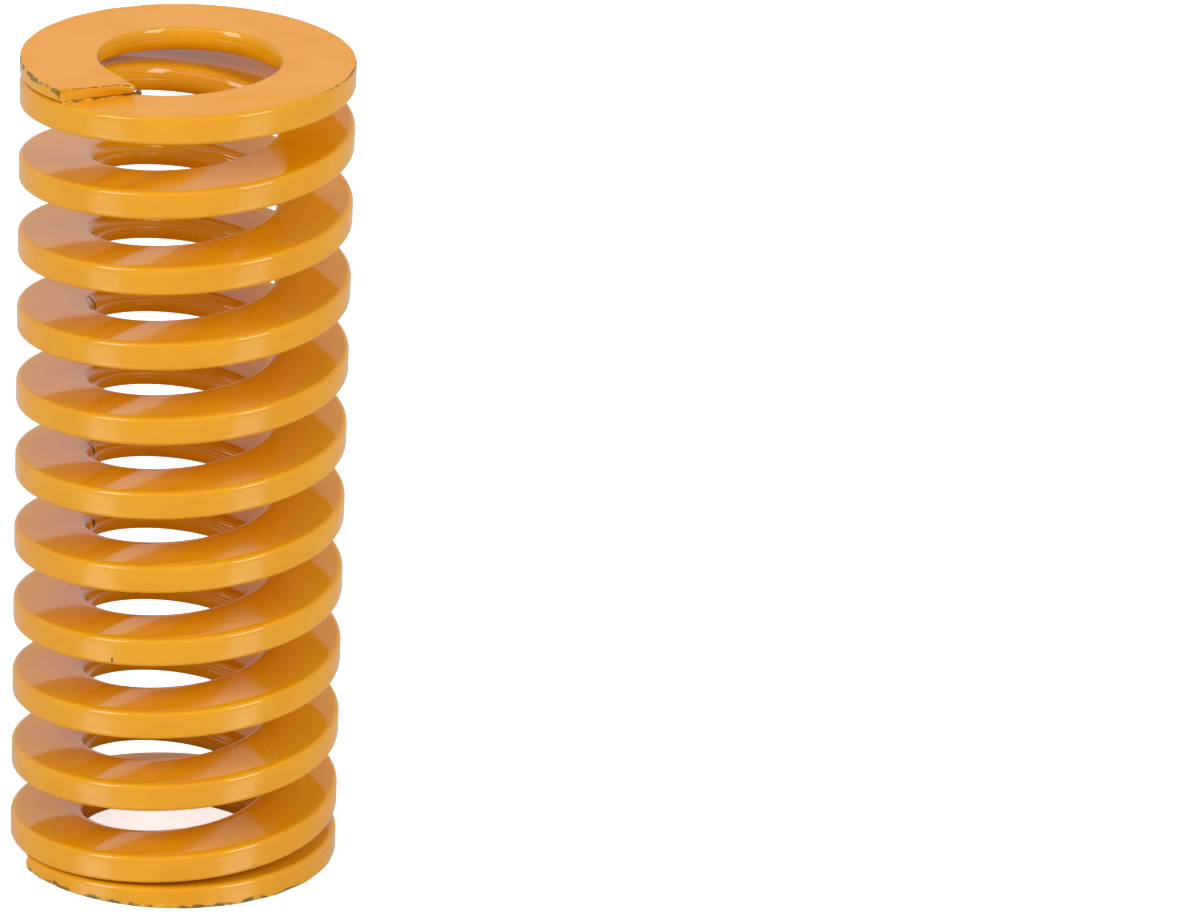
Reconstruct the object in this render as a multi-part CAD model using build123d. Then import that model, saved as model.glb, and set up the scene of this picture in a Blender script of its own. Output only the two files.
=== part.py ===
from build123d import *
from build123d.topology import SkipClean
import os
from math import cos, pi, radians, sin

# Die spring: one length of D-section wire, coiled right-handed, with both ends closed and
# ground square. It stands on its bottom end, with the coil's axis on Z and z = 0 on the ground.

# Coil, in millimetres and turns
outside_diameter = 19.6
inside_diameter = 10.6
free_length = 50.0
coil_turns = 12.04
bottom_tip_angle = 206.5  # degrees round from +X to the outer corner of the bottom tip

# Wire: its outer side is flat with rounded corners, and its inner side is half an ellipse
wire_height = 1.75
corner_radius = 0.32
nose_depth = 0.6  # of the half ellipse

# Closed ends: each tip lies on the next coil, and grinding leaves a thin tongue of it. The pitch
# of the end coils dips, so that they lie along the ground plane, and rises to the body's pitch.
end_pitch = 0.15  # rise per turn where the pitch is least
dip_middle = 0.465  # turns from a tip to that place
dip_reach = 0.65  # turns from that place to the body's pitch
tip_thickness = 0.78
shear_angle = 21.0  # degrees by which the sheared tip face is turned from the radial
straight_angle = 12.0  # degrees of arc before the tip from which its inner side runs straight
overhang_angle = 15.2  # degrees of arc by which the tip's inner corner passes the outer one

# Construction
sections_per_turn = 24
end_turns = 0.85  # stretch from each tip that is ground and trimmed before it joins the body
tongue_turns = 0.4  # its thin part, next to the tip, with a wall of its own
spare_turns = 0.045  # wire past the tip, which the shear takes off
body_stretches = 42  # of about a quarter of a turn each
sizing_cut = 0.015  # how far the drawn section passes the bore and the outside before it is sized

outer_radius = outside_diameter / 2
inner_radius = inside_diameter / 2
half_height = wire_height / 2
tip_height = half_height - tip_thickness  # from the ground plane out to the wire's centre
top_tip_angle = bottom_tip_angle + 360 * coil_turns


def dip_integral(turns):
    """The integral, over the turns from a tip, of a smooth bump from 0 up to 1 and back."""
    place = min((turns - dip_middle) / dip_reach, 1.0)
    return dip_reach * (place + sin(pi * place) / pi) / 2


def slow_turns(turns):
    """How many of the turns from the bottom tip have the end pitch instead of the body pitch."""
    bottom = dip_integral(turns) - dip_integral(0)
    top = dip_integral(coil_turns) - dip_integral(coil_turns - turns)
    return bottom + top


both_ends = slow_turns(coil_turns)
centre_rise = free_length + 2 * tip_height
body_pitch = (centre_rise - end_pitch * both_ends) / (coil_turns - both_ends)


def wire_centre(turns):
    """Height of the wire's centre at a number of turns from the bottom tip."""
    return body_pitch * turns - (body_pitch - end_pitch) * slow_turns(turns) - tip_height


def tip_gap(angle):
    """Gap between a tip and the coil that it lies on, at an angle past the tip's outer corner."""
    turns = -angle / 360
    return wire_centre(turns + 1) - wire_centre(turns) - wire_height


def wire_profile():
    """Section of the wire, with X as the radius from the coil's axis."""
    nose_centre = inner_radius - sizing_cut + nose_depth
    flat_width = outer_radius + sizing_cut - nose_centre
    flat = Pos(nose_centre + flat_width / 2, 0) * Rectangle(flat_width, wire_height)
    outer_corners = flat.vertices().group_by(Axis.X)[-1]
    return fillet(outer_corners, corner_radius) + Pos(nose_centre, 0) * Ellipse(nose_depth, half_height)


def coil(first_turn, last_turn):
    """A stretch of wire, lofted through upright sections, then sized to the two cylinders."""
    steps = round((last_turn - first_turn) * sections_per_turn)
    profile = wire_profile()
    sections = []
    for step in range(steps + 1):
        turns = first_turn + (last_turn - first_turn) * step / steps
        angle = radians(bottom_tip_angle + 360 * turns)
        upright = Plane(
            origin=(0, 0, wire_centre(turns)),
            x_dir=(cos(angle), sin(angle), 0),
            z_dir=(sin(angle), -cos(angle), 0),
        )
        sections.append(upright * profile)
    middle = Pos(0, 0, free_length / 2)
    outside = middle * Cylinder(outer_radius, 2 * free_length)
    return (loft(sections) & outside) - middle * Cylinder(inner_radius, 2 * free_length)


def tip_tools():
    """What is taken off the top tip: the grinding, the shear, and the inner side's curve."""
    block = 2 * wire_height
    above = Pos(0, 0, free_length + block / 2)
    grinding = above * Box(2 * outside_diameter, 2 * outside_diameter, block)
    at_tip = Pos(0, 0, free_length) * Rot(0, 0, top_tip_angle)
    shear_line = Pos(outer_radius, 0) * Rot(0, 0, -shear_angle)
    shear = at_tip * shear_line * Pos(0, block / 2) * Box(3 * block, block, block)
    straight_line = Rot(0, 0, -straight_angle) * Pos(inner_radius, 0)
    trim = at_tip * straight_line * Pos(-block / 2, block / 2) * Box(block, block, block)
    return grinding + shear + trim


def body():
    """The coils between the ends, as stretches that follow each other."""
    stretch_turns = (coil_turns - 2 * end_turns) / body_stretches
    stretches = []
    for stretch in range(body_stretches):
        start = end_turns + stretch * stretch_turns
        stretches.append(coil(start, start + stretch_turns))
    return stretches


def closed_end():
    """The top end: its tongue, and the thicker stretch that the tongue grows out of."""
    tongue_start = coil_turns - tongue_turns
    tongue = coil(tongue_start, coil_turns + spare_turns) - tip_tools()
    root = coil(coil_turns - end_turns, tongue_start) - tip_tools()
    return [root, tongue]


def spring():
    """The top end, its twin turned over for the bottom, and the coils between them."""
    top_end = closed_end()
    turning_angle = radians((bottom_tip_angle + top_tip_angle) / 2)
    turning_axis = Axis((0, 0, free_length / 2), (cos(turning_angle), sin(turning_angle), 0))
    bottom_end = [stretch.rotate(turning_axis, 180) for stretch in top_end]
    stretches = bottom_end + body() + top_end
    # each stretch keeps its own faces of the bore and the outside
    with SkipClean():
        return stretches[0].fuse(*stretches[1:])


os.makedirs("parts", exist_ok=True)
spring_coil = spring()
export_step(spring_coil, "parts/spring_coil.step")
print("body pitch", round(body_pitch, 3))
print("tip gap", round(tip_gap(0), 3), "to", round(tip_gap(overhang_angle), 3))
print("solids", len(spring_coil.solids()), "volume", round(spring_coil.volume, 1), "mm3")
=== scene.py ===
import math

import bpy
import numpy as np
from mathutils import Matrix, Vector


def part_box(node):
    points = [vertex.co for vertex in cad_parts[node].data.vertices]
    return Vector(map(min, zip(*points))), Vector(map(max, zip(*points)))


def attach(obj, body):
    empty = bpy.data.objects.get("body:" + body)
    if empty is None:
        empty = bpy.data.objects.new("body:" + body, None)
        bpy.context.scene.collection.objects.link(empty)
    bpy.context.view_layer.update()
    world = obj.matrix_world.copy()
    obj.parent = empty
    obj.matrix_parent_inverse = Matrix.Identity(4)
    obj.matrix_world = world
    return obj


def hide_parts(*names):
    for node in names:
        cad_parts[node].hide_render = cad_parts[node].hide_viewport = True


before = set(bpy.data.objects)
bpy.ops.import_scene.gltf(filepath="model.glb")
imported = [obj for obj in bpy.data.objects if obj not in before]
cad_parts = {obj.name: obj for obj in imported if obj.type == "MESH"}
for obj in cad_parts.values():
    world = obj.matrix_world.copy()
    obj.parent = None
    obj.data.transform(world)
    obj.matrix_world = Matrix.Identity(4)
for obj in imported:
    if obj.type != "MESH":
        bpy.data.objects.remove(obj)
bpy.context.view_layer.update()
print("die spring: the frame is in")


# The coil. Lengths are in metres, angles in degrees, and stretches of wire in turns from a tip.
coilShape = {
    "insideRadius": 0.0053,
    "wireHeight": 0.00175,
    "cornerRadius": 0.00032,  # of the wire's two outer corners
    "noseDepth": 0.0006,  # of its inner side, which is half an ellipse
    "turns": 12.04,
    "bottomTipAngle": 206.5,  # round from +X
    "endPitch": 0.00015,  # rise per turn where it is least
    "dipMiddle": 0.465,
    "dipReach": 0.65,
    "tipThickness": 0.00078,
    "shearAngle": 21.0,
    "straightAngle": 12.0,
}

# How finely the coil is drawn
coilDetail = {
    "stationsPerTurn": 120,
    "fanTurns": 0.12,  # stretch over which the stations turn to follow the sheared face
    "paintedEdge": 0.00006,  # radius that the paint leaves on a ground or sheared edge
    "edgeWaves": ((0.3, 23.0), (0.22, 61.0), (0.15, 140.0)),  # how unevenly: (share, waves per turn)
    "mattTurns": 1.0,  # from each tip, where the flat that faces the end has the matt paint, whose brighter colour is a painted highlight
    "innerEdgeMark": 0.42,  # how much the edge round the bore shows its dirt, and its thin paint with its painted highlight
    "markFade": 0.0001,  # depth of grinding over which the edge's dirt sets in
    "flatShares": (0, 0.02, 0.25, 0.5, 0.75, 0.98, 1),  # where the rows of points lie across the flat
    "tipRounding": (90, 90, 67, 45, 22),  # degrees round the sheared face's edge, ring by ring
    "edgeSteps": 3,
    "outerSteps": 16,
    "cornerShare": 0.4,  # of the outer side's steps, for each of its corners
    "noseSteps": 14,
}

flatRows = len(coilDetail["flatShares"])
lowCorner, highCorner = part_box("spring_coil")
outsideRadius = (highCorner.x - lowCorner.x) / 2
freeLength = highCorner.z
halfHeight = coilShape["wireHeight"] / 2
tipHeight = halfHeight - coilShape["tipThickness"]
noseCentre = coilShape["insideRadius"] + coilShape["noseDepth"]
bottomTip = math.radians(coilShape["bottomTipAngle"])
topTip = bottomTip + 2 * math.pi * coilShape["turns"]


def dipIntegral(fromTip):
    reach = coilShape["dipReach"]
    place = np.minimum((fromTip - coilShape["dipMiddle"]) / reach, 1)
    return reach * (place + np.sin(math.pi * place) / math.pi) / 2


slowTurns = 2 * (dipIntegral(coilShape["turns"]) - dipIntegral(0))
centreRise = freeLength + 2 * tipHeight
bodyPitch = (centreRise - coilShape["endPitch"] * slowTurns) / (coilShape["turns"] - slowTurns)


def centreDepth(fromTip):
    # how deep the wire's centre lies under the nearer end's ground plane, up to the middle coil
    slow = dipIntegral(fromTip) - dipIntegral(0)
    return bodyPitch * fromTip - (bodyPitch - coilShape["endPitch"]) * slow - tipHeight


# A section of the wire is a loop of points (x, height): the flat that faces the nearer end,
# the outer side, the far flat, and the round nose. Its sides are traced by a share from 0 to 1.
def outerSide(share):
    radius = coilShape["cornerRadius"]
    cornerShare = coilDetail["cornerShare"]
    flatHalf = halfHeight - radius
    nearCorner = np.clip(share / cornerShare, 0, 1) * math.pi / 2
    farCorner = np.clip((share - 1) / cornerShare + 1, 0, 1) * math.pi / 2
    down = np.clip((share - cornerShare) / (1 - 2 * cornerShare), 0, 1)
    x = outsideRadius - radius + radius * np.where(share < 0.5, np.sin(nearCorner), np.cos(farCorner))
    height = flatHalf * (1 - 2 * down) + radius * (np.cos(nearCorner) - np.sin(farCorner))
    return np.stack([x, height])


def outerShareAt(height):
    radius = coilShape["cornerRadius"]
    cornerShare = coilDetail["cornerShare"]
    flatHalf = halfHeight - radius
    turned = np.arccos(np.clip((height - flatHalf) / radius, 0, 1)) / (math.pi / 2)
    down = np.clip((flatHalf - height) / (2 * flatHalf), 0, 1)
    onFlat = cornerShare + (1 - 2 * cornerShare) * down
    return np.where(height > flatHalf, cornerShare * turned, onFlat)


def noseSide(share):
    angle = math.pi * (share - 0.5)
    return np.stack([noseCentre - coilShape["noseDepth"] * np.cos(angle), halfHeight * np.sin(angle)])


def noseShareAt(height):
    return 0.5 + np.arcsin(np.clip(height / halfHeight, -1, 1)) / math.pi


def between(start, end, steps):
    return [start + (end - start) * step / steps for step in range(steps + 1)]


def across(start, end):
    return [start + (end - start) * share for share in coilDetail["flatShares"]]


def roundedEdge(start, corner, end):
    # the points between start and end, on a curve that the corner pulls out
    steps = coilDetail["edgeSteps"]
    points = []
    for step in range(1, steps):
        t = step / steps
        points.append((1 - t) ** 2 * start + 2 * t * (1 - t) * corner + t * t * end)
    return points


def unevenEdge(fromTip):
    # the painted edge's radius, with each wave started at a place of its own
    waves = []
    for share, count in coilDetail["edgeWaves"]:
        waves.append(share * np.sin(2 * math.pi * count * fromTip + 5 * share))
    return coilDetail["paintedEdge"] * (1 + sum(waves))


def sectionLoop(outerCut, noseCut, edge):
    # one row of points for each place round the loop, which the grinding cuts off at these heights
    outerStart, noseEnd = outerShareAt(outerCut), noseShareAt(noseCut)
    outerEdge, noseEdge = outerSide(outerStart), noseSide(noseEnd)
    outward = (outerEdge - noseEdge) / np.linalg.norm(outerEdge - noseEdge, axis=0)
    cornerLength = coilShape["cornerRadius"] * math.pi / 2 / coilDetail["cornerShare"]
    noseLength = math.pi * (halfHeight + coilShape["noseDepth"]) / 2
    outerStart = outerStart + edge / cornerLength
    noseEnd = noseEnd - edge / noseLength
    flat = across(noseEdge + edge * outward, outerEdge - edge * outward)
    outerShares = between(outerStart, 1 + 0 * outerStart, coilDetail["outerSteps"])
    outer = [outerSide(share) for share in outerShares]
    nose = [noseSide(share) for share in between(0 * noseEnd, noseEnd, coilDetail["noseSteps"])]
    farSteps = flatRows - 1 + 2 * coilDetail["edgeSteps"]
    far = between(outer[-1], nose[0], farSteps)[1:-1]
    outerBend = roundedEdge(flat[-1], outerEdge, outer[0])
    noseBend = roundedEdge(nose[-1], noseEdge, flat[0])
    return np.array(flat + outerBend + outer + far + nose + noseBend)


def shearedAngle(x):
    # how far past the tip's outer corner the sheared face lies at a radius
    slant = math.radians(coilShape["shearAngle"])
    along = outsideRadius * math.cos(slant) - np.sqrt(x * x - (outsideRadius * math.sin(slant)) ** 2)
    return np.arctan2(along * math.sin(slant), outsideRadius - along * math.cos(slant))


def halfCoil():
    # rings of radius, angle from the tip and depth, from one tip to the middle of the wire, with
    # marks for where the end is ground and for the sheared face's rim
    edge = coilDetail["paintedEdge"]
    count = round(coilShape["turns"] / 2 * coilDetail["stationsPerTurn"])
    fromTip = np.linspace(0, coilShape["turns"] / 2, count + 1)
    rounding = np.radians(coilDetail["tipRounding"])
    inset = np.concatenate([edge * (1 - np.cos(rounding)), np.zeros(count + 1)])
    inset[0] = 2 * edge  # this ring lies in the sheared face
    setBack = np.concatenate([edge * (1 - np.sin(rounding)), [edge], np.zeros(count)])
    fromTip = np.concatenate([np.zeros(len(rounding)), fromTip])
    fan = np.clip(1 - fromTip / coilDetail["fanTurns"], 0, 1)  # 1 where a ring follows the sheared face

    noseTurns = fromTip - fan * shearedAngle(noseCentre - coilShape["noseDepth"] / 2) / (2 * math.pi)
    outerCut = np.minimum(centreDepth(fromTip), halfHeight)
    noseCut = np.minimum(centreDepth(noseTurns), halfHeight)
    loop = sectionLoop(outerCut, noseCut, unevenEdge(fromTip))
    radius, height = loop[:, 0], loop[:, 1]
    angle = 2 * math.pi * fromTip - fan * shearedAngle(radius) + setBack / radius
    centre = centreDepth(angle / (2 * math.pi))
    depth = np.maximum(centre - height, 0)  # the grinding stops at the ground plane
    depth[:flatRows] = np.maximum(centre - halfHeight, 0)[:flatRows]
    straight = np.clip(math.radians(coilShape["straightAngle"]) - angle, 0, 1)
    radius = np.maximum(radius, coilShape["insideRadius"] / np.cos(straight))

    def drawnIn(values):
        # the end face's edges are rounded by drawing the last rings in
        middle = (values.max(axis=0) + values.min(axis=0)) / 2
        half = (values.max(axis=0) - values.min(axis=0)) / 2
        return middle + (values - middle) * (1 - inset / half)

    radius, depth = drawnIn(radius), drawnIn(depth)
    cut = np.clip((halfHeight - outerCut) / coilDetail["markFade"], 0, 1)
    rim = np.where(inset > 0, 1.0, 0.0)
    rim[:2] = (0, 0.5)  # the sheared face itself is clean
    return radius, angle, depth, cut, rim


def coilMesh():
    # the top half, and its twin turned over for the bottom
    radius, angle, depth, cut, rim = halfCoil()
    places, stations = radius.shape
    edgeSteps = coilDetail["edgeSteps"]
    outerFirst = flatRows + edgeSteps - 1
    turnedOver = (2 * outerFirst + coilDetail["outerSteps"] - np.arange(places)) % places
    edgeMark = np.zeros(places)
    edgeMark[flatRows:outerFirst] = 1
    edgeMark[-edgeSteps + 1:] = coilDetail["innerEdgeMark"]
    edgeMark[[flatRows - 1, outerFirst]] = 0.5
    edgeMark = np.maximum(edgeMark[:, None] * cut, rim)
    edgeMark[:, 0] = 0
    groundMark = np.zeros((places, stations))
    groundMark[:flatRows] = angle[:flatRows] < 2 * math.pi * coilDetail["mattTurns"]

    def placed(turn, height):
        return np.stack([radius * np.cos(turn), radius * np.sin(turn), height], axis=-1)

    bottom = placed(bottomTip + angle, depth)[turnedOver][:, :-1]
    top = placed(topTip - angle, freeLength - depth)[:, ::-1]
    points = np.concatenate([bottom, top], axis=1).transpose(1, 0, 2).reshape(-1, 3)

    def both(mark):
        return np.concatenate([mark[turnedOver][:, :-1], mark[:, ::-1]], axis=1).T.reshape(-1)

    rings = 2 * stations - 1
    ring, place = np.meshgrid(np.arange(rings - 1), np.arange(places), indexing="ij")
    after = (place + 1) % places
    near, far = ring * places, (ring + 1) * places
    quads = np.stack([far + place, far + after, near + after, near + place], axis=-1)
    faces = quads.reshape(-1, 4).tolist()
    faces.append(list(range(places)))
    faces.append(list(range((rings - 1) * places, rings * places))[::-1])
    return points, faces, {"cutEdge": both(edgeMark), "groundFace": both(groundMark)}


def newPiece(name, points, faces, marks):
    mesh = bpy.data.meshes.new(name)
    mesh.from_pydata(points.tolist(), [], faces)
    for mark, values in marks.items():
        mesh.attributes.new(mark, "FLOAT", "POINT").data.foreach_set("value", values)
    mesh.polygons.foreach_set("use_smooth", [True] * len(mesh.polygons))
    mesh.validate()
    mesh.update()
    piece = bpy.data.objects.new(name, mesh)
    bpy.context.scene.collection.objects.link(piece)
    return piece


# The bead of paint that has gathered under each tip, where it lies on the next coil
beadShape = {
    "steps": 150,
    "sides": 10,
    "outerEnd": 0.00014,  # from the coil's outside in to the bead's outer end
    "innerEnd": 0.00045,  # from the start of the wire's round inner side in to the other end
    "forward": 0.00008,  # in front of the sheared face
    "thickness": 0.00009,  # from the bead's middle line to its surface
    "lumps": 46,
    "unevenness": 0.5,  # share of the thickness
    "webStart": 0.9,  # share of the bead's length where the web at the tip's inner corner begins
    "webThickness": 0.00022,
    "greatest": 0.00013,  # thickness of the bead
    "greatestAdded": 0.0002,  # to that, at the end of the web
    "taper": 0.015,  # share of the length over which each end grows thin
    "bluntness": 0.02,  # square of the share of the thickness that is left there
    "seed": 7,
}


def beadPath(share):
    # the line under the sheared face's edge: radius, angle past the tip and depth
    first = outsideRadius - beadShape["outerEnd"]
    last = noseCentre - beadShape["innerEnd"]
    radius = first + (last - first) * share
    past = shearedAngle(radius)
    turns = -past / (2 * math.pi)
    above = centreDepth(turns) + halfHeight
    below = centreDepth(turns + 1) - halfHeight
    return radius, past + beadShape["forward"] / radius, (above + below) / 2


def beadThickness(share):
    random = np.random.default_rng(beadShape["seed"])
    lumps = random.uniform(-1, 1, beadShape["lumps"])
    lastLump = beadShape["lumps"] - 1
    uneven = np.interp(share * lastLump, np.arange(lastLump + 1), lumps)
    thickness = beadShape["thickness"] * (1 + beadShape["unevenness"] * uneven)
    web = np.clip((share - beadShape["webStart"]) / (1 - beadShape["webStart"]), 0, 1) ** 2
    thicker = beadShape["webThickness"] - beadShape["thickness"]
    thickness = thickness + thicker * web * (1 - web) * 2
    thickness = np.minimum(thickness, beadShape["greatest"] + beadShape["greatestAdded"] * web)
    fromEnd = np.minimum(share, 1 - share) / beadShape["taper"]
    return thickness * np.sqrt(np.clip(fromEnd, beadShape["bluntness"], 1))


def buildBead(name, tip, turning):
    # turning is 1 at the top, and -1 at the bottom, where the bead's twin is turned over
    steps, sides = beadShape["steps"], beadShape["sides"]
    share = np.linspace(0, 1, steps)
    radius, past, depth = beadPath(share)
    angle = tip + turning * past
    height = freeLength - depth if turning > 0 else depth
    middle = np.stack([radius * np.cos(angle), radius * np.sin(angle), height], axis=-1)
    along = np.gradient(middle, axis=0)
    along /= np.linalg.norm(along, axis=1)[:, None]
    up = np.array([0, 0, 1.0]) - along[:, 2:] * along
    up /= np.linalg.norm(up, axis=1)[:, None]
    side = np.cross(along, up)
    turn = np.arange(sides) * 2 * math.pi / sides
    ring = np.cos(turn)[None, :, None] * side[:, None] + np.sin(turn)[None, :, None] * up[:, None]
    points = (middle[:, None] + ring * beadThickness(share)[:, None, None]).reshape(-1, 3)
    faces = []
    for start in range(0, (steps - 1) * sides, sides):
        for corner in range(sides):
            after = (corner + 1) % sides
            faces.append((start + corner, start + sides + corner,
                          start + sides + after, start + after))
    faces.append(tuple(range(sides)))
    faces.append(tuple(range(steps * sides - 1, (steps - 1) * sides - 1, -1)))
    # the whole bead takes the edge marks, so its paler patches are a painted highlight, and it is
    # darker in others
    return newPiece(name, points, faces, {"cutEdge": np.ones(len(points))})


spring = newPiece("dieSpring", *coilMesh())
beads = [buildBead("topBead", topTip, 1), buildBead("bottomBead", bottomTip, -1)]
print("die spring: coil drawn,", len(spring.data.polygons), "faces")


# Effects that the paints share, as node groups
def newGroup(name, inputs, outputs):
    group = bpy.data.node_groups.new(name, "ShaderNodeTree")
    for socketName, kind, value in inputs:
        socketType = "NodeSocket" + kind
        socket = group.interface.new_socket(socketName, in_out="INPUT", socket_type=socketType)
        if value is not None:
            socket.default_value = value
    for socketName in outputs:
        group.interface.new_socket(socketName, in_out="OUTPUT", socket_type="NodeSocketFloat")
    return group, group.nodes.new("NodeGroupInput").outputs, group.nodes.new("NodeGroupOutput").inputs


def plug(tree, source, target):
    # a source is an output socket, or a plain value for the target
    if isinstance(source, (int, float, tuple)):
        target.default_value = source
    else:
        tree.links.new(source, target)


def addMath(tree, operation, first, second=0.0, clamp=False):
    node = tree.nodes.new("ShaderNodeMath")
    node.operation = operation
    node.use_clamp = clamp
    plug(tree, first, node.inputs[0])
    plug(tree, second, node.inputs[1])
    return node.outputs[0]


def addVectorMath(tree, operation, first, second=None):
    node = tree.nodes.new("ShaderNodeVectorMath")
    node.operation = operation
    plug(tree, first, node.inputs[0])
    if second is not None:
        plug(tree, second, node.inputs[1])
    return node.outputs["Value" if operation == "LENGTH" else "Vector"]


def addNoise(tree, where, scale, detail=2.0, roughness=0.5):
    node = tree.nodes.new("ShaderNodeTexNoise")
    plug(tree, where, node.inputs["Vector"])
    plug(tree, scale, node.inputs["Scale"])
    node.inputs["Detail"].default_value = detail
    node.inputs["Roughness"].default_value = roughness
    return node.outputs["Fac"]


def addRange(tree, value, low, high, toLow=0.0, toHigh=1.0):
    node = tree.nodes.new("ShaderNodeMapRange")
    node.interpolation_type = "SMOOTHSTEP"
    for source, target in zip((value, low, high, toLow, toHigh), node.inputs):
        plug(tree, source, target)
    return node.outputs[0]


def addMix(tree, share, first, second):
    node = tree.nodes.new("ShaderNodeMix")
    node.data_type = "RGBA"
    plug(tree, share, node.inputs["Factor"])
    plug(tree, first, node.inputs["A"])
    plug(tree, second, node.inputs["B"])
    return node.outputs["Result"]


def addGroup(tree, group, **values):
    node = tree.nodes.new("ShaderNodeGroup")
    node.node_tree = group
    for name, value in values.items():
        plug(tree, value, node.inputs[name.replace("_", " ")])
    return node.outputs[0]


def orangePeelGroup():
    # the faint waviness of sprayed and baked paint, and its finer grain
    group, given, out = newGroup(
        "orangePeel",
        [
            ("Place", "Vector", None),
            ("Waves", "Float", 700.0),
            ("Grain", "Float", 4000.0),
            ("Grain Share", "Float", 0.1),
        ],
        ["Height"],
    )
    waves = addNoise(group, given["Place"], given["Waves"], detail=1.0)
    grain = addNoise(group, given["Place"], given["Grain"])
    fine = addMath(group, "MULTIPLY", grain, given["Grain Share"])
    plug(group, addMath(group, "ADD", waves, fine), out["Height"])
    return group


def paintCloudsGroup():
    # where the coat of paint is a little thicker or thinner
    group, given, out = newGroup(
        "paintClouds",
        [("Place", "Vector", None), ("Scale", "Float", 150.0)],
        ["Thickness"],
    )
    broad = addNoise(group, given["Place"], given["Scale"], detail=3.0, roughness=0.6)
    plug(group, addRange(group, broad, low=0.3, high=0.7), out["Thickness"])
    return group


def paintSpecksGroup():
    # grains of dust caught in the paint, far apart
    group, given, out = newGroup(
        "paintSpecks",
        [
            ("Place", "Vector", None),
            ("Scale", "Float", 500.0),
            ("Size", "Float", 0.1),
            ("Share", "Float", 0.1),
        ],
        ["Speck"],
    )
    cells = group.nodes.new("ShaderNodeTexVoronoi")
    plug(group, given["Place"], cells.inputs["Vector"])
    plug(group, given["Scale"], cells.inputs["Scale"])
    split = group.nodes.new("ShaderNodeSeparateColor")
    plug(group, cells.outputs["Color"], split.inputs["Color"])
    chosen = addMath(group, "LESS_THAN", split.outputs["Red"], given["Share"])
    near = addRange(group, cells.outputs["Distance"], given["Size"], 0.0)
    plug(group, addMath(group, "MULTIPLY", chosen, near), out["Speck"])
    return group


def brokenLineGroup():
    # a line along an edge, broken by noise
    group, given, out = newGroup(
        "brokenLine",
        [
            ("Place", "Vector", None),
            ("Edge", "Float", 0.0),
            ("Scale", "Float", 900.0),
            ("Cover", "Float", 0.5),
            ("Fade", "Float", 0.12),
        ],
        ["Line"],
    )
    noise = addNoise(group, given["Place"], given["Scale"], detail=4.0, roughness=0.65)
    start = addMath(group, "SUBTRACT", 1.0, given["Cover"])
    present = addRange(group, noise, start, addMath(group, "ADD", start, given["Fade"]))
    onEdge = addRange(group, given["Edge"], low=0.25, high=0.8)
    plug(group, addMath(group, "MULTIPLY", present, onEdge), out["Line"])
    return group


def paintCrackGroup():
    # a ragged mark round a place on the coil. Half of its size is given across the wire, round
    # the coil and upward.
    group, given, out = newGroup(
        "paintCrack",
        [
            ("Place", "Vector", None),
            ("Middle", "Vector", None),
            ("Around", "Float", 0.0),
            ("Across", "Float", 0.0006),
            ("Width", "Float", 0.0001),
            ("Tall", "Float", 0.0001),
            ("Ragged", "Float", 3.0),
            ("Scale", "Float", 6500.0),
        ],
        ["Mark"],
    )
    away = addVectorMath(group, "SUBTRACT", given["Place"], given["Middle"])
    turned = group.nodes.new("ShaderNodeVectorRotate")
    turned.rotation_type = "Z_AXIS"
    turned.invert = True
    plug(group, away, turned.inputs["Vector"])
    plug(group, given["Around"], turned.inputs["Angle"])
    size = group.nodes.new("ShaderNodeCombineXYZ")
    for axis, name in zip("XYZ", ("Across", "Width", "Tall")):
        plug(group, given[name], size.inputs[axis])
    scaled = addVectorMath(group, "DIVIDE", turned.outputs[0], size.outputs[0])
    noise = addNoise(group, given["Place"], given["Scale"], detail=3.0, roughness=0.7)
    push = addMath(group, "MULTIPLY", addMath(group, "SUBTRACT", noise, 0.5), given["Ragged"])
    far = addMath(group, "ADD", addVectorMath(group, "LENGTH", scaled), push)
    plug(group, addRange(group, far, low=1.15, high=0.75), out["Mark"])
    return group


orangePeel, paintClouds, paintSpecks = orangePeelGroup(), paintCloudsGroup(), paintSpecksGroup()
brokenLine, paintCrack = brokenLineGroup(), paintCrackGroup()

# The paint. Colours are linear, and a scale is a number per metre.
paintLook = {
    "colour": (0.83, 0.375, 0.004),
    "thickColour": (0.80, 0.335, 0.003),
    "groundColourWithHighlight": (0.95, 0.37, 0.004),  # on the ground faces, which are matt; these two colours are brighter than the paint's, a painted highlight of the light from above on the top end
    "groundThickColourWithHighlight": (0.93, 0.36, 0.003),
    "thinPaintAndHighlightColour": (0.90, 0.52, 0.10),  # thin paint on a cut edge, and paler also as a painted highlight; over the beads it is a painted highlight
    "dirtColour": (0.10, 0.075, 0.008),  # what has settled in the breaks of an edge
    "crackColour": (0.022, 0.018, 0.004),
    "roughness": 0.07,
    "groundRoughness": 0.36,
    "roughnessSpread": (0.85, 1.25),  # times the roughness, where the coat is thin and thick
    "dirtRoughness": 0.3,  # added
    "ior": 1.5,
    "cloudScale": 170.0,
    "thinEdgeAndHighlight": (500.0, 0.55, 0.6),  # scale, share of the edge, strength
    "edgeDirt": (1300.0, 0.58, 0.85),
    "specks": (420.0, 0.1, 0.05, 0.35),  # scale, size in a cell, share of the cells, strength
    "peelScales": (650.0, 3800.0),  # of the waves and of the grain
    "grain": 0.06,  # share of the peel's depth
    "groundGrain": 0.25,
    "peelDepth": 0.0000012,
    "relief": {"speck": 3.0, "dirt": -4.0, "crack": -20.0},  # times the peel's depth
}

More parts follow.
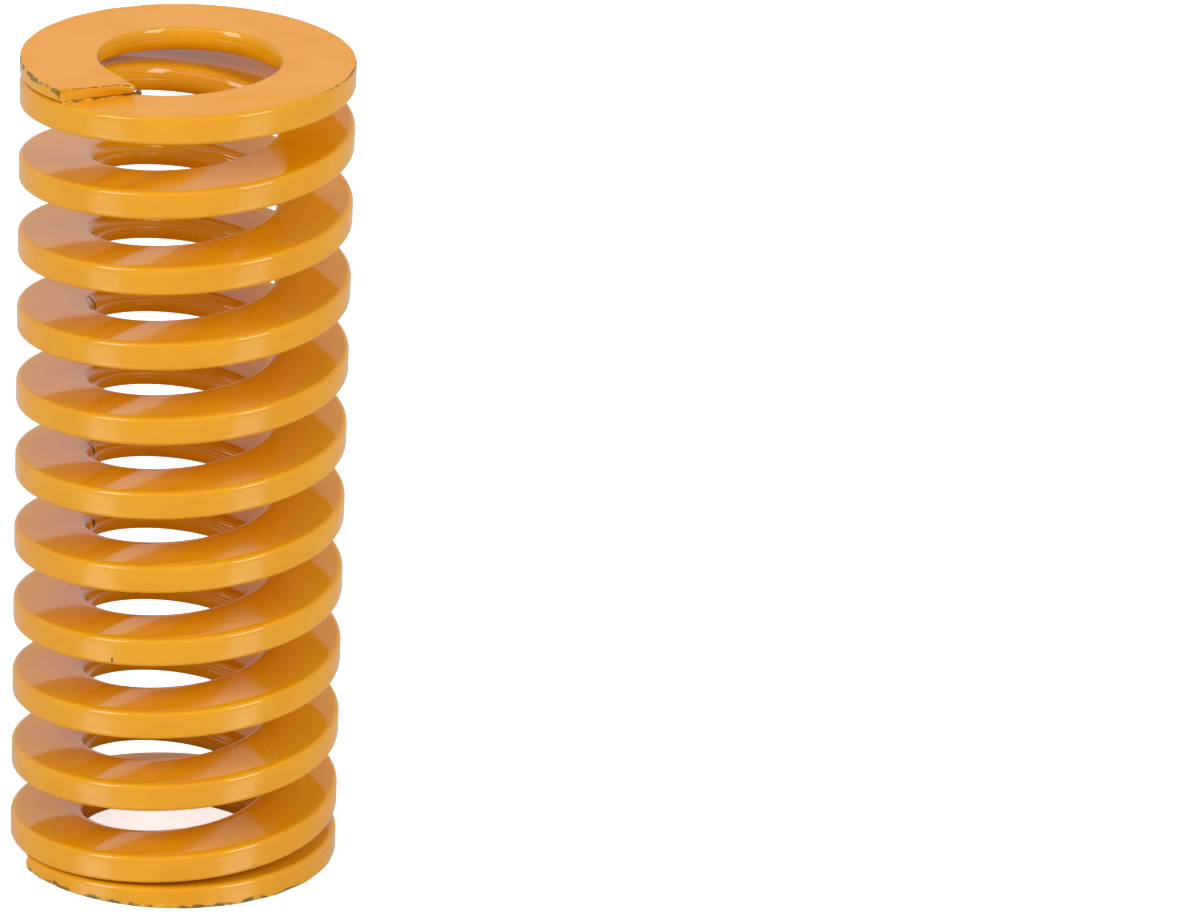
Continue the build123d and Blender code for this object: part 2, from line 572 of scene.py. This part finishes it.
# Cracks and marks in the paint
paintFlaws = {
    # name: (degrees round from +X, height, distance from the axis, half of its width, half of its
    # height, how ragged it is)
    "upperCrack": (168.2, 0.03418, 0.0054, 0.00019, 0.00065, 1.8),
    "lowerCrack": (165.4, 0.02457, 0.0054, 0.00017, 0.00060, 1.8),
    "smear": (162.7, 0.01998, 0.0054, 0.00022, 0.00028, 2.4),
    "pit": (104.7, 0.01216, 0.0060, 0.00014, 0.00012, 1.2),
    "speck": (255.9, 0.02006, 0.0098, 0.00008, 0.00008, 0.6),
    "scratch": (247.3, 0.01564, 0.0098, 0.00005, 0.00020, 1.2),
}


def addFlaws(tree, where):
    marks = None
    for around, height, fromAxis, width, tall, ragged in paintFlaws.values():
        turn = math.radians(around)
        middle = (fromAxis * math.cos(turn), fromAxis * math.sin(turn), height)
        size = {"Width": width, "Tall": tall, "Ragged": ragged}
        mark = addGroup(tree, paintCrack, Place=where, Middle=middle, Around=turn, **size)
        marks = mark if marks is None else addMath(tree, "MAXIMUM", marks, mark)
    return marks


def addEdgeLine(tree, where, edge, look):
    scale, cover, strength = look
    line = addGroup(tree, brokenLine, Place=where, Edge=edge, Scale=scale, Cover=cover)
    return line, addMath(tree, "MULTIPLY", line, strength)


def paintMaterial(name, ground):
    material = bpy.data.materials.new(name)
    material.use_nodes = True
    tree = material.node_tree
    shader = tree.nodes["Principled BSDF"]
    where = tree.nodes.new("ShaderNodeTexCoord").outputs["Object"]
    edgeNode = tree.nodes.new("ShaderNodeAttribute")
    edgeNode.attribute_name = "cutEdge"
    edge = edgeNode.outputs["Fac"]
    clouds = addGroup(tree, paintClouds, Place=where, Scale=paintLook["cloudScale"])
    scale, size, share, speckStrength = paintLook["specks"]
    speck = addGroup(tree, paintSpecks, Place=where, Scale=scale, Size=size, Share=share)
    # edges paler: thin paint, and a painted highlight on the edges and over the beads
    thinPaintAndHighlightShare = addEdgeLine(tree, where, edge, paintLook["thinEdgeAndHighlight"])[1]
    dirt, dirtShare = addEdgeLine(tree, where, edge, paintLook["edgeDirt"])

    def painted(look):
        return (*paintLook[look], 1)

    # the ground faces' colours are brighter, a painted highlight of the light from above
    coat = ("groundColourWithHighlight", "groundThickColourWithHighlight") if ground else ("colour", "thickColour")
    colour = addMix(tree, clouds, painted(coat[0]), painted(coat[1]))
    colour = addMix(tree, thinPaintAndHighlightShare, colour, painted("thinPaintAndHighlightColour"))
    colour = addMix(tree, dirtShare, colour, painted("dirtColour"))
    speckShare = addMath(tree, "MULTIPLY", speck, speckStrength)
    colour = addMix(tree, speckShare, colour, painted("dirtColour"))
    relief = {"speck": speck, "dirt": dirt}
    if not ground:
        relief["crack"] = addFlaws(tree, where)
        colour = addMix(tree, relief["crack"], colour, painted("crackColour"))
    plug(tree, colour, shader.inputs["Base Color"])

    base = paintLook["groundRoughness" if ground else "roughness"]
    smoothest, roughest = (base * spread for spread in paintLook["roughnessSpread"])
    coatRoughness = addRange(tree, clouds, 0.0, 1.0, smoothest, roughest)
    dirtRoughness = addMath(tree, "MULTIPLY", dirt, paintLook["dirtRoughness"])
    roughness = addMath(tree, "ADD", coatRoughness, dirtRoughness, clamp=True)
    plug(tree, roughness, shader.inputs["Roughness"])
    shader.inputs["IOR"].default_value = paintLook["ior"]

    waves, grain = paintLook["peelScales"]
    grainShare = paintLook["groundGrain" if ground else "grain"]
    height = addGroup(tree, orangePeel, Place=where, Waves=waves, Grain=grain, Grain_Share=grainShare)
    for mark, value in relief.items():
        raised = addMath(tree, "MULTIPLY", value, paintLook["relief"][mark])
        height = addMath(tree, "ADD", height, raised)
    bump = tree.nodes.new("ShaderNodeBump")
    bump.inputs["Distance"].default_value = paintLook["peelDepth"]
    plug(tree, height, bump.inputs["Height"])
    plug(tree, bump.outputs["Normal"], shader.inputs["Normal"])
    return material


def paintCoil():
    spring.data.materials.append(paintMaterial("glossPaint", False))
    # the matt ground paint's brighter colour is a painted highlight
    spring.data.materials.append(paintMaterial("groundPaintWithHighlight", True))
    marks = np.zeros(len(spring.data.vertices), dtype=np.float32)
    spring.data.attributes["groundFace"].data.foreach_get("value", marks)
    for face in spring.data.polygons:
        face.material_index = int(min(marks[corner] for corner in face.vertices) > 0.5)


paintCoil()
for bead in beads:
    bead.data.materials.append(spring.data.materials["glossPaint"])
    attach(bead, "root")
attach(spring, "root")
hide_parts("spring_coil")
print("die spring: paint is on")


# The floor and the lights
studio = {
    "floorSize": 8.0,
    "floorColour": (0.78, 0.78, 0.78),
    "floorRoughness": 0.9,
    "floorGlow": 0.75,  # added for the camera, so that the floor shows white
    "floorGloss": 0.55,  # how much the floor mirrors the lamps on to the paint
    "mirrorRoughness": 0.32,
    "zenithLight": 0.54,  # the room's light from above, from the front and from behind
    "frontLight": 0.42,
    "backLight": 0.74,
    "lamps": {
        # name: (degrees round from the front, degrees up, distance, width, height, radiance)
        "leftPanel": (-57, 31, 1.0, 0.36, 0.50, 6.2),
        "rightPanel": (48, 31, 1.0, 0.36, 0.50, 6.2),
        "frontStrip": (-3, 36, 1.0, 1.30, 0.05, 4.2),
    },
}


def floorMaterial():
    # white with the spring's shadow on it, and a slight gloss that only the paint's reflections show
    material = bpy.data.materials.new("paleFloor")
    material.use_nodes = True
    tree = material.node_tree
    plain = tree.nodes["Principled BSDF"]
    plain.inputs["Base Color"].default_value = (*studio["floorColour"], 1)
    plain.inputs["Roughness"].default_value = studio["floorRoughness"]
    plain.inputs["Specular IOR Level"].default_value = 0.0
    plain.inputs["Emission Color"].default_value = (1, 1, 1, 1)
    rays = tree.nodes.new("ShaderNodeLightPath")
    glow = addMath(tree, "MULTIPLY", rays.outputs["Is Camera Ray"], studio["floorGlow"])
    tree.links.new(glow, plain.inputs["Emission Strength"])
    mirror = tree.nodes.new("ShaderNodeBsdfAnisotropic")
    mirror.inputs["Roughness"].default_value = studio["mirrorRoughness"]
    blend = tree.nodes.new("ShaderNodeMixShader")
    mirrored = addMath(tree, "MULTIPLY", rays.outputs["Is Glossy Ray"], studio["floorGloss"])
    tree.links.new(mirrored, blend.inputs["Fac"])
    tree.links.new(plain.outputs["BSDF"], blend.inputs[1])
    tree.links.new(mirror.outputs["BSDF"], blend.inputs[2])
    tree.links.new(blend.outputs["Shader"], tree.nodes["Material Output"].inputs["Surface"])
    return material


def buildFloor():
    half = studio["floorSize"] / 2
    mesh = bpy.data.meshes.new("floor")
    corners = [(-half, -half, 0), (half, -half, 0), (half, half, 0), (-half, half, 0)]
    mesh.from_pydata(corners, [], [(0, 1, 2, 3)])
    floor = bpy.data.objects.new("floor", mesh)
    bpy.context.scene.collection.objects.link(floor)
    mesh.materials.append(floorMaterial())


def buildWorld():
    # a room that is brightest low behind the spring, and dimmer overhead and in front
    world = bpy.data.worlds.new("studio")
    bpy.context.scene.world = world
    world.use_nodes = True
    tree = world.node_tree
    split = tree.nodes.new("ShaderNodeSeparateXYZ")
    direction = tree.nodes.new("ShaderNodeTexCoord").outputs["Generated"]
    tree.links.new(direction, split.inputs["Vector"])
    horizon = addRange(tree, split.outputs["Y"], -1.0, 1.0, studio["frontLight"], studio["backLight"])
    up = addRange(tree, split.outputs["Z"], 0.0, 1.0)
    dimmed = addMath(tree, "MULTIPLY", addMath(tree, "SUBTRACT", studio["zenithLight"], horizon), up)
    strength = addMath(tree, "ADD", horizon, dimmed)
    tree.links.new(strength, tree.nodes["Background"].inputs["Strength"])
    tree.nodes["Background"].inputs["Color"].default_value = (1, 1, 1, 1)


def buildLamps():
    aim = Vector((0, 0, freeLength / 2))
    for name, (around, up, distance, width, tall, radiance) in studio["lamps"].items():
        lamp = bpy.data.lights.new(name, "AREA")
        lamp.shape = "RECTANGLE"
        lamp.size = width
        lamp.size_y = tall
        lamp.energy = radiance * math.pi * width * tall
        turn, rise = math.radians(around), math.radians(up)
        level = math.cos(rise)
        away = Vector((math.sin(turn) * level, -math.cos(turn) * level, math.sin(rise)))
        holder = bpy.data.objects.new(name, lamp)
        holder.location = aim + away * distance
        holder.rotation_euler = away.to_track_quat("Z", "Y").to_euler()
        bpy.context.scene.collection.objects.link(holder)


# The camera looks down at the spring, which stands left of the picture's middle. Angles in radians.
view = {
    "distance": 0.45424,  # in front of the coil's axis
    "height": 0.205048,
    "down": 0.37634,
    "right": 0.05477,
    "roll": 0.04033,
    "lens": 246.806,  # millimetres, as is the sensor
    "sensor": 36.0,
    "nearest": 0.01,
    "farthest": 50.0,
}


def buildCamera():
    down, right, roll = view["down"], view["right"], view["roll"]
    flat = math.cos(down)
    forward = Vector((math.sin(right) * flat, math.cos(right) * flat, -math.sin(down)))
    level = Vector((math.cos(right), -math.sin(right), 0))
    upward = level.cross(forward)
    sideways = level * math.cos(roll) + upward * math.sin(roll)
    over = upward * math.cos(roll) - level * math.sin(roll)
    data = bpy.data.cameras.new("camera")
    data.lens = view["lens"]
    data.sensor_width = view["sensor"]
    data.clip_start = view["nearest"]
    data.clip_end = view["farthest"]
    camera = bpy.data.objects.new("camera", data)
    turned = Matrix((sideways, over, -forward)).transposed().to_4x4()
    camera.matrix_world = Matrix.Translation((0, -view["distance"], view["height"])) @ turned
    bpy.context.scene.collection.objects.link(camera)
    bpy.context.scene.camera = camera


buildFloor()
buildWorld()
buildLamps()
buildCamera()
bpy.context.scene.view_settings.view_transform = "Standard"
print("die spring: floor, lights and camera are in")
